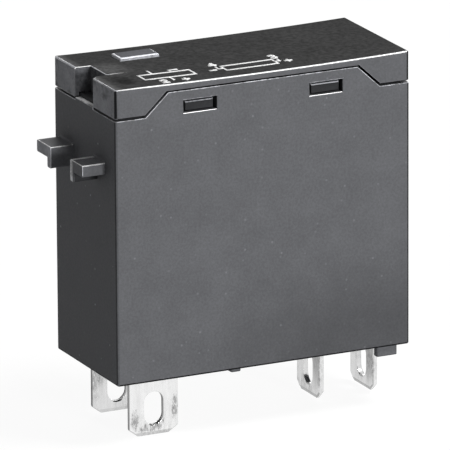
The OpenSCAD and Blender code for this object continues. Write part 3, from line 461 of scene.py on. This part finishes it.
# The lugs: painted highlights on their top edges, painted light on the back lug's end and painted shade on
# the front lug's web
def lug_look(n, low, high, bevel):
    front_lug = low.y + high.y < 0
    if high.z > LUG_TOP_Z:
        return "plain"
    if front_lug and low.y > LUG_INNER_Y:
        if n.z > STRAIGHT:
            return "bright_highlight"
        return "broken_highlight" if n.x < -LEANING else "plain"
    if bevel:
        if n.z > LEANING:
            return "bright_highlight"
        lit = high.z > LUG_HEAD_Z or not front_lug
        return "edge_highlight" if lit and abs(n.z) < LEANING else "plain"
    if 0.4 < n.z < STRAIGHT:
        return "bright_highlight"
    if n.x < -STRAIGHT:
        return "plain" if front_lug else "lit_lug_end"
    return "shade" if front_lug and high.z < LUG_WEB_Z else "plain"


# Softened edges of the case from the rim up: on the lip, round the windows and along the tongues, with
# painted shade on the lip and in the windows and painted highlights broken into dashes elsewhere
def rim_bevel_look(n, low, high, middle):
    outer_x, outer_y = reach_of(low, high)
    if low.z > SILL_TOP_Z and outer_y < LIP_Y and outer_x > LIP_X:
        return "shade" if middle.x < 0 else "corner"
    if outer_y > WINDOW_Y and high.z < WINDOW_TOP_Z and abs(abs(middle.x) - WINDOW_X) < WINDOW_HALF:
        return "joint" if n.z > LEANING and middle.z > CHAMFER_Z else "plain"
    sloping = abs(n.x) > LEANING and abs(middle.x) < CORNER_X
    return "plain" if sloping and middle.x <= 0 else "broken_highlight"


# Flat faces of the case from the rim up: the notch's sill, the lip, the rim and the windows. The sill and
# the rim's slopes get painted highlights, the lip, the rim's top and the windows painted shade.
def rim_look(n, low, high, middle):
    outer_y = reach_of(low, high)[1]
    if low.z > SILL_LOW_Z and high.z < SILL_TOP_Z and n.z > STRAIGHT:
        return "bright_highlight"
    if outer_y < LIP_Y:
        return "shade" if middle.x < LIP_LEFT_X else "corner"
    if low.z > SLOPE_Z and n.z > 0.6 and high.z < TONGUE_TOP_Z and outer_y > WALL_Y:
        return "joint"
    if high.z < WINDOW_TOP_Z and abs(n.y) < TURNED and outer_y > WINDOW_Y and n.z < TURNED:
        return "shade" if abs(n.x) > 0.8 else "joint"
    if LEANING < abs(n.y) < 0.95 and low.z < SILL_LOW_Z:
        return "bright_highlight"
    return None


# The case's walls, rounded corners and bottom, with painted shade on the rounded corners, the bottom
# edges and the left end
def wall_look(n, low, high, middle):
    if high.z < BOTTOM_CORNER_Z and -0.98 < n.z < -TURNED:
        return "corner"
    if high.z < BOTTOM_Z:
        return "standoff"
    outer_y = reach_of(low, high)[1]
    if abs(n.z) < LEANING and min(abs(n.x), abs(n.y)) > ROUNDED and outer_y > CORNER_Y:
        if middle.x > 0 and abs(n.x) > TURNED:
            return "corner"
        if middle.x < 0 and middle.y < 0 and abs(n.x) > 0.8:
            return "shade"
        if middle.x < 0 and middle.y > 0 and abs(n.y) > LEANING:
            return "corner"
    return "end" if n.x < -STRAIGHT else "plain"


def case_look(face, mark):
    n = face.normal
    low, high = limits(face)
    middle = (low + high) / 2
    bevel = mark == EDGE_MARK
    if low.x < LUG_ROOT_X:
        return lug_look(n, low, high, bevel)
    if low.z > TONGUE_LOW_Z:
        if bevel and abs(n.y) > LEANING:
            return "broken_highlight"
        return "joint" if n.z > HALFWAY else "plain"
    if bevel and low.z > RIM_Z:
        return rim_bevel_look(n, low, high, middle)
    if bevel:
        outer_x = reach_of(low, high)[0]
        on_standoff = low.z < STANDOFF_LOW_Z and high.z < STANDOFF_TOP_Z and outer_x < STANDOFF_X
        return "corner" if on_standoff else "plain"
    look = rim_look(n, low, high, middle) if low.z > RIM_Z else None
    return look or wall_look(n, low, high, middle)


# Case, whose front lug is cut in two for its looks. Its looks hold painted highlights on edges, painted
# shade in gaps, corners, recesses and on the left end, and painted light on the back lug's end.
CASE_LOOKS = {"plain": case_plastic, "edge_highlight": edge_highlight, "joint": joint_dark,
              "broken_highlight": broken_highlight, "corner": corner_shade_plastic, "bright_highlight": bright_highlight,
              "lit_lug_end": lit_lug_end, "end": shaded_end_plastic, "shade": deep_shade_plastic, "standoff": lid_plastic}


def on_front_lug(face):
    low = limits(face)[0]
    return low.x < LUG_ROOT_X and low.y < FRONT_LUG_Y


bm = clean_copy("case")
soften(bm, HOUSING_EDGE * MM, EDGE_MARK)
lug_faces = [face for face in bm.faces if on_front_lug(face)]
lug_edges = {edge for face in lug_faces for edge in face.edges}
lug_verts = {vert for face in lug_faces for vert in face.verts}
cut(bm, [*lug_verts, *lug_edges, *lug_faces], (0, LUG_CUT_Y * MM, 0), (0, 1, 0))
paint(bm, CASE_LOOKS, case_look)
finish_piece(bm, "case_shell", CASE_LOOKS.values(), "case")

# More such places, on the lid
LENS_X = -7.96
LENS_Y = 3.3
LENS_HALF_X = 2.4
LENS_HALF_Y = 1.6
TOP_EDGE_Z = 27.0
TOP_Z = 27.1
EAR_X = 14
ROUND_X = 14.1
ROUND_Y = 6.05
RIGHT_ROUND_X = 14.12
FRONT_ROUND_Y = -6.1
END_X = 14.45
HOOK_INNER_Y = 4.6
HOOK_OUTER_Y = 6.3
HOOK_TOP_Z = 25.8
HOOK_HALF = 1.6
NOTCH_EDGE_X = -12.5
NOTCH_X = -12.9
NOTCH_Y = 2.1
NOTCH_FLOOR_Z = 26

# Parts along z between which the rounded front edge of the lid's top gets a painted highlight
LIT_LOW = 0.35
LIT_HIGH = 0.94


# Rounded and softened edges of the lid's top: painted highlights along the front and left edges,
# painted shade on the right and front left rounded corners and painted light on the left end
def top_edge_look(n, middle, bevel):
    if abs(middle.x - LENS_X) < LENS_HALF_X and abs(middle.y - LENS_Y) < LENS_HALF_Y:
        return "top"
    if middle.x > RIGHT_ROUND_X and n.y < -TURNED:
        return "corner"
    if bevel and middle.x < NOTCH_EDGE_X:
        return "bright_highlight" if n.y < -LEANING and middle.y > 1 else "edge_highlight"
    on_front_corner = middle.x < -ROUND_X and middle.y < FRONT_ROUND_Y
    if on_front_corner and n.y < -TURNED and n.x < -TURNED:
        return "bright_highlight" if n.z > LIT_LOW and n.x < n.y + 0.2 else "corner"
    if n.y > TURNED or n.x > TURNED:
        return "top"
    if n.y < -TURNED:
        return "bright_highlight" if LIT_LOW < n.z < LIT_HIGH else "plain"
    return "edge_highlight" if n.z > LEANING else "end"


# The lid's hooks in the windows: painted shade on their faces and in the gap, painted highlights on their
# top edges
def hook_look(n, middle, bevel):
    if not bevel:
        return "joint" if n.z > LEANING else "hook"
    if n.z > 0.15:
        return "edge_highlight" if middle.x > 0 else "hook_highlight"
    return "joint" if n.z < -0.15 else "hook"


def lid_look(face, mark):
    n = face.normal
    low, high = limits(face)
    middle = (low + high) / 2
    bevel = mark == EDGE_MARK
    outer_x, outer_y = reach_of(low, high)
    if high.z > TOP_EDGE_Z and 0.1 < n.z < 0.985:
        return top_edge_look(n, middle, bevel)
    if n.z > STRAIGHT and high.z > TOP_Z:
        return "top"
    by_window = abs(abs(middle.x) - WINDOW_X) < HOOK_HALF
    if by_window and HOOK_INNER_Y < outer_y < HOOK_OUTER_Y and high.z < HOOK_TOP_Z:
        return hook_look(n, middle, bevel)
    if bevel:
        if n.z > -LEANING:
            return "soft_highlight"
        if low.z > TONGUE_LOW_Z:
            return "plain"
        return "soft_highlight" if n.x < -LEANING and middle.x < -EAR_X else "joint"
    rounded = abs(n.z) < HALFWAY and min(abs(n.x), abs(n.y)) > ROUNDED
    if rounded and outer_x > ROUND_X and outer_y > ROUND_Y:
        front_left = middle.x < 0 and middle.y < 0
        if front_left and abs(n.x) < 0.45:
            return "plain"
        return "end" if front_left and abs(n.y) < 0.34 else "corner"
    in_notch = low.x < NOTCH_X and outer_y < NOTCH_Y
    if in_notch and n.z > STRAIGHT and high.z < NOTCH_FLOOR_Z:
        return "hook"
    if n.x < -0.95 and outer_x > END_X:
        return "end"
    if in_notch and abs(n.z) < HALFWAY:
        return "notch"
    return "joint" if n.z < -HALFWAY else "plain"


# Lid, whose long top edges sink a little towards the middle, as moulded covers do. Sizes in mm.
# The lid's looks hold painted highlights on its edges, painted shade in its gaps, corners, hooks and notch
# floor, and painted light on its left end
LID_LOOKS = {"plain": lid_plastic, "edge_highlight": edge_highlight, "soft_highlight": soft_highlight, "joint": joint_dark,
             "top": lid_top, "end": lit_lid_end, "corner": corner_shade_plastic, "notch": notch_dark, "hook": deep_shade_plastic,
             "bright_highlight": bright_highlight, "hook_highlight": hook_highlight}
SINK = 0.17
SINK_STEP = 2.1
SINK_DEPTH = 0.3
LENS_HEIGHT = 0.3
LENS_ROOM = 0.3
THIN_STEP = 0.02
lid_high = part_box("lid")[1]
lens_low, lens_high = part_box("indicator_lens")
seat_z = lens_high.z - LENS_HEIGHT * MM


def sink(x):
    return SINK * MM * (1 - (x / lid_high.x) ** 2)


def thin_step(edge):
    return edge.calc_length() < THIN_STEP * MM


bm = clean_copy("lid")
for step in range(-6, 7):
    cut(bm, all_parts(bm), (step * SINK_STEP * MM, 0, 0), (1, 0, 0))
for vert in bm.verts:
    on_seat = abs(vert.co.z - seat_z) < 0.004 * MM
    near_lens = lens_low.x - LENS_ROOM * MM < vert.co.x < lens_high.x + LENS_ROOM * MM
    if vert.co.z > lid_high.z - SINK_DEPTH * MM and not (on_seat and near_lens):
        vert.co.z -= sink(vert.co.x)
soften(bm, HOUSING_EDGE * MM, EDGE_MARK, leave=thin_step)
paint(bm, LID_LOOKS, lid_look)
finish_piece(bm, "lid_cover", LID_LOOKS.values(), "lid")

# Lens block: its front and back walls and its end walls, lighter than its top as painted light, and the
# painted highlight of the rim at its front and left top edges
LENS_LOOKS = {"top": lens_top, "wall": lit_lens_wall, "side": lit_lens_side, "rim": lens_rim_highlight}


def below_top(edge):
    return min(vert.co.z for vert in edge.verts) < lens_high.z - 0.01 * MM


def lens_look(face, mark):
    n = face.normal
    if mark == EDGE_MARK:
        return "rim" if n.y < LEANING and n.z > LEANING else "wall"
    if n.z > 0.6:
        return "top"
    return "side" if abs(n.x) > 0.6 else "wall"


bm = clean_copy("indicator_lens")
soften(bm, LENS_EDGE * MM, EDGE_MARK, leave=below_top)
paint(bm, LENS_LOOKS, lens_look)
finish_piece(bm, "lens_block", LENS_LOOKS.values(), "indicator_lens")

# Blades, whose edges show the bands of a sheared cut, at these places across the sheet. Sizes in mm.
INPUT_BANDS = (0.06,)
OUTPUT_BANDS = (-0.2, -0.13)
INPUT_Y = 3.9
TIP_HEIGHT = 1.1
SHEET_MIDDLE = 0.2
SLOT_REACH = 1.4
FACE_TINS = {"input_blade_front": front_tin, "input_blade_back": blade_tin,
             "output_blade_inner": output_tin, "output_blade_outer": output_tin}
for node, face_tin in FACE_TINS.items():
    is_input = node.startswith("input")
    across = Vector((0, 1, 0)) if is_input else Vector((1, 0, 0))
    bands = INPUT_BANDS if is_input else OUTPUT_BANDS
    low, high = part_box(node)
    centre = (low + high) / 2
    if is_input:
        centre.y = INPUT_Y * MM if node.endswith("back") else -INPUT_Y * MM
    tip_z = low.z + TIP_HEIGHT * MM

    def not_tip(edge):
        ends = [vert.co.z for vert in edge.verts]
        flat = [abs(face.normal.dot(across)) > STRAIGHT for face in edge.link_faces]
        if sum(flat) != 1 or max(ends) > tip_z:
            return True
        return max(abs((vert.co - centre).dot(across)) for vert in edge.verts) < SHEET_MIDDLE * MM

    def blade_look(face, mark):
        spot = face.calc_center_median()
        level = (spot - centre).dot(across) / MM
        flatness = abs(face.normal.dot(across))
        if mark == TIP_MARK or (face.normal.z < -TURNED and flatness > LEANING):
            return "tip"
        if mark == EDGE_MARK or flatness > TURNED:
            return "face"
        if is_input:
            return "dark" if level > bands[0] else "grey"
        if abs(spot.y) < SLOT_REACH * MM and face.normal.z > -HALFWAY:
            return "face"
        return "grey" if bands[0] < level < bands[1] else "edge"

    bm = clean_copy(node)
    for band in bands:
        cut(bm, all_parts(bm), centre + across * band * MM, across)
    soften(bm, TIP_EDGE * MM, TIP_MARK, segments=1, leave=not_tip)
    soften(bm, BLADE_EDGE * MM, EDGE_MARK, lowest=50)
    looks = {"face": face_tin, "dark": blade_dark, "grey": blade_grey,
             "tip": tip_light if is_input else tip_tin, "edge": edge_tin}
    paint(bm, looks, blade_look)
    finish_piece(bm, node + "_metal", looks.values(), node)

# Strokes of the signs, in heights of the sign
STROKES = {
    "2": [[(0.04, 0.76), (0.14, 0.96), (0.46, 0.98), (0.6, 0.8), (0.56, 0.56), (0.02, 0.02), (0.62, 0.02)]],
    "3": [[(0.04, 0.9), (0.2, 1.0), (0.46, 0.98), (0.58, 0.8), (0.5, 0.6), (0.26, 0.54)],
          [(0.26, 0.54), (0.52, 0.48), (0.62, 0.26), (0.48, 0.04), (0.2, 0.0), (0.02, 0.12)]],
    "4": [[(0.48, 0.0), (0.48, 1.0), (0.0, 0.3), (0.66, 0.3)]],
    "+": [[(0.0, 0.5), (0.7, 0.5)], [(0.35, 0.12), (0.35, 0.88)]],
    "-": [[(0.0, 0.5), (0.7, 0.5)]],
}

# Sizes of the printed lines in mm. A line along x is broader than one along y, as in the photograph, and
# both its ends run on by a share of half its width.
LINE_WIDTH = 0.2
SIGN_WIDTH = 0.24
LINE_STEP = 0.6
BROADER = 1.5
RUN_ON = 0.9
PRINT_LIFT = 0.006
PRINT_THICKNESS = 0.01
marks = bmesh.new()


def stroke(points, width=LINE_WIDTH):
    for (x0, y0), (x1, y1) in zip(points, points[1:]):
        run = Vector((x1 - x0, y1 - y0))
        along = run.normalized() * width / 2
        across = Vector((-along.y, along.x * BROADER))
        count = max(1, int(run.length / LINE_STEP))
        rows = []
        for i in range(count + 1):
            middle = Vector((x0, y0)) + run * i / count
            if i == 0:
                middle -= along * RUN_ON
            if i == count:
                middle += along * RUN_ON
            row = []
            for side in (-1, 1):
                spot = (middle + side * across) * MM
                height = lid_high.z - sink(spot.x) + PRINT_LIFT * MM
                row.append(marks.verts.new((spot.x, spot.y, height)))
            rows.append(row)
        for near, far in zip(rows, rows[1:]):
            marks.faces.new((near[0], far[0], far[1], near[1]))


def sign(letter, x, y, height):
    for line in STROKES[letter]:
        stroke([(x + px * height, y + py * height) for px, py in line], SIGN_WIDTH)


def box_mark(left, right, low, high):
    stroke([(left, low), (right, low), (right, high), (left, high), (left, low)])


# Plain wiring marks on the lid: two boxes with leads, terminal numbers and polarity signs
box_mark(-10.55, -5.6, -4.3, -2.8)
stroke([(-9.15, -2.8), (-9.15, -1.7)])
stroke([(-8.2, -4.3), (-8.2, -5.3)])
stroke([(-7.3, -2.8), (-7.3, -2.2), (-6.5, -2.2)])
sign("2", -9.5, -5.85, 0.9)
sign("+", -7.4, -5.85, 0.8)
box_mark(-2.6, 2.45, -4.4, -3.0)
stroke([(-2.6, -3.7), (-3.1, -3.7), (-3.1, -3.1)])
stroke([(2.45, -3.7), (2.95, -3.7), (2.95, -3.1)])
sign("4", -3.4, -2.7, 0.95)
sign("3", 2.65, -2.7, 0.95)
sign("-", -4.0, -4.3, 0.8)
sign("+", 3.4, -4.3, 0.8)
print_white = finish("print_white", grey(0.9), grey(0.99), 1500, rough=(0.5, 0.65), grain=0.002)
bmesh.ops.recalc_face_normals(marks, faces=marks.faces)
lid_marks = finish_piece(marks, "lid_marks", [print_white], None)
ink = lid_marks.modifiers.new("ink", "SOLIDIFY")
ink.thickness = PRINT_THICKNESS * MM
ink.offset = 0

# Finishes of the inner parts, which keep their CAD meshes
FINISHES = {
    "board_laminate": finish("board_mask", (0.012, 0.1, 0.045), (0.02, 0.15, 0.07), 300, coat=0.4),
    "black_resin": finish("black_resin", grey(0.018), grey(0.03), 600, rough=(0.45, 0.6), grain=0.008),
    "tinned_lead": finish("tinned_lead", grey(0.55), grey(0.72), 900, 1.0, (0.25, 0.4), 0.002),
    "insulating_film": finish("insulating_film", (0.5, 0.36, 0.16), (0.62, 0.47, 0.24), 400, coat=0.3),
    "spreader_aluminium": finish("spreader_aluminium", grey(0.58), grey(0.7), 700, 1.0, (0.35, 0.5)),
    "plated_steel": finish("plated_steel", grey(0.6), grey(0.74), 900, 1.0, (0.2, 0.35), 0.002),
    "red_resin": finish("red_resin", (0.36, 0.01, 0.006), (0.5, 0.03, 0.015), 500, coat=0.6),
    "resistor_lacquer": finish("resistor_lacquer", (0.5, 0.36, 0.2), (0.62, 0.47, 0.29), 700, coat=0.3),
    "diode_glass": finish("diode_glass", (0.45, 0.1, 0.02), (0.58, 0.2, 0.05), 800, coat=0.8),
    "blue_lacquer": finish("blue_lacquer", (0.01, 0.06, 0.22), (0.03, 0.1, 0.34), 400, coat=0.4),
    "red_box": finish("red_box", (0.28, 0.02, 0.01), (0.4, 0.05, 0.025), 300, coat=0.3),
    "solder": finish("solder", grey(0.5), grey(0.64), 900, 1.0, (0.2, 0.4), 0.004),
}
replaced = {"case", "lid", "indicator_lens", *FACE_TINS}
for subpart in frame["record"]["subparts"]:
    name = subpart["node"]
    if name in replaced:
        continue
    inner = frame["nodes"][name]
    inner.data.materials.clear()
    inner.data.materials.append(FINISHES[subpart["material_slot"]])


# 1 for the rays that see a thing straight, by a mirror or through glass, and 0 for the other rays
def seeing_rays(tree):
    rays = tree.nodes.new("ShaderNodeLightPath")
    seen = rays.outputs["Is Camera Ray"]
    for name in ("Is Glossy Ray", "Is Transmission Ray"):
        either = tree.nodes.new("ShaderNodeMath")
        either.operation = "MAXIMUM"
        tree.links.new(seen, either.inputs[0])
        tree.links.new(rays.outputs[name], either.inputs[1])
        seen = either.outputs[0]
    return seen


# The first shader where the share is 0, the second where it is 1
def mix_shaders(tree, share, first, second, target):
    both = tree.nodes.new("ShaderNodeMixShader")
    tree.links.new(share, both.inputs[0])
    tree.links.new(first, both.inputs[1])
    tree.links.new(second, both.inputs[2])
    tree.links.new(both.outputs[0], target)


# Floor, which keeps the shadow and is white in the background
FLOOR_REACH = 3
FLOOR_DROP = 0.02 * MM
FLOOR_TONE = 0.5
FLOOR_SHARE = 0.76
FLOOR_GLOW = 1.21
floor_z = cad_box[0][2] - FLOOR_DROP
corners = [(x * FLOOR_REACH, y * FLOOR_REACH, floor_z) for x, y in ((-1, -1), (1, -1), (1, 1), (-1, 1))]
floor_mesh = bpy.data.meshes.new("floor")
floor_mesh.from_pydata(corners, [], [(0, 1, 2, 3)])
floor = bpy.data.objects.new("floor", floor_mesh)
bpy.context.scene.collection.objects.link(floor)
paper = Tree("floor_white")
paper.shader.inputs["Base Color"].default_value = (*grey(FLOOR_TONE), 1)
paper.shader.inputs["Roughness"].default_value = 0.9
glow = paper.add("ShaderNodeEmission")
glow.inputs["Strength"].default_value = FLOOR_GLOW
seen_by = seeing_rays(paper.tree)
share = paper.add("ShaderNodeMath", operation="MULTIPLY")
paper.join(seen_by, share.inputs[0])
share.inputs[1].default_value = FLOOR_SHARE
mix_shaders(paper.tree, share.outputs[0], paper.shader.outputs[0], glow.outputs[0], paper.surface)
floor_mesh.materials.append(paper.material)

# World: softer where it lights, white where it is seen
LIGHTING_STRENGTH = 0.1
WHITE_STRENGTH = 1.0
world.use_nodes = True
world_tree = world.node_tree
world_tree.nodes.clear()
skies = []
for strength in (LIGHTING_STRENGTH, WHITE_STRENGTH):
    sky = world_tree.nodes.new("ShaderNodeBackground")
    sky.inputs["Color"].default_value = (1, 1, 1, 1)
    sky.inputs["Strength"].default_value = strength
    skies.append(sky.outputs[0])
world_out = world_tree.nodes.new("ShaderNodeOutputWorld")
mix_shaders(world_tree, seeing_rays(world_tree), *skies, world_out.inputs[0])

# Height that the lamps point at
AIM_Z = 0.012


# A square lamp in a direction from the relay, with its distance and size in metres
def lamp(name, direction, distance, size, watts):
    data = bpy.data.lights.new(name, "AREA")
    data.shape = "SQUARE"
    data.size = size
    data.energy = watts
    made = bpy.data.objects.new(name, data)
    away = Vector(direction).normalized() * distance
    made.location = away + Vector((0, 0, AIM_Z))
    made.rotation_euler = away.to_track_quat("Z", "Y").to_euler()
    bpy.context.scene.collection.objects.link(made)


lamp("key", (0.14, -0.97, 0.13), 1.0, 0.2, 5.8)
lamp("top", (0.4, -0.3, 0.86), 0.5, 0.16, 1.6)
lamp("rear", (0.5, 0.85, 0.15), 1.0, 0.5, 3.0)

# Camera at the photograph's viewing angle. The target, its shifts in the picture's plane, the distance and
# the sensor are in mm. The scale is in pixels to a mm at the target.
AZIMUTH = math.radians(-25.61457)
ELEVATION = math.radians(16.57568)
ROLL = math.radians(-0.35029)
DISTANCE = math.exp(6.64497)
SCALE = math.exp(2.41257)
TARGET = Vector((0, -0.03, 14))
SHIFT_LEFT = 0.69259
SHIFT_DOWN = 2.47762
SENSOR = 36
PICTURE_WIDTH = 450
back = Vector((math.sin(AZIMUTH) * math.cos(ELEVATION), -math.cos(AZIMUTH) * math.cos(ELEVATION),
               math.sin(ELEVATION)))
level_right = Vector((0, 0, 1)).cross(back).normalized()
level_up = back.cross(level_right)
right = math.cos(ROLL) * level_right + math.sin(ROLL) * level_up
up = -math.sin(ROLL) * level_right + math.cos(ROLL) * level_up
eye = TARGET - SHIFT_LEFT * right - SHIFT_DOWN * up + DISTANCE * back
camera_data = bpy.data.cameras.new("camera")
camera_data.sensor_width = SENSOR
camera_data.lens = SCALE * DISTANCE * SENSOR / PICTURE_WIDTH
camera = bpy.data.objects.new("camera", camera_data)
turn = Matrix((right, up, back)).transposed()
camera.matrix_world = Matrix.Translation(eye * MM) @ turn.to_4x4()
bpy.context.scene.collection.objects.link(camera)
bpy.context.scene.camera = camera

view = bpy.context.scene.view_settings
view.view_transform = "Standard"
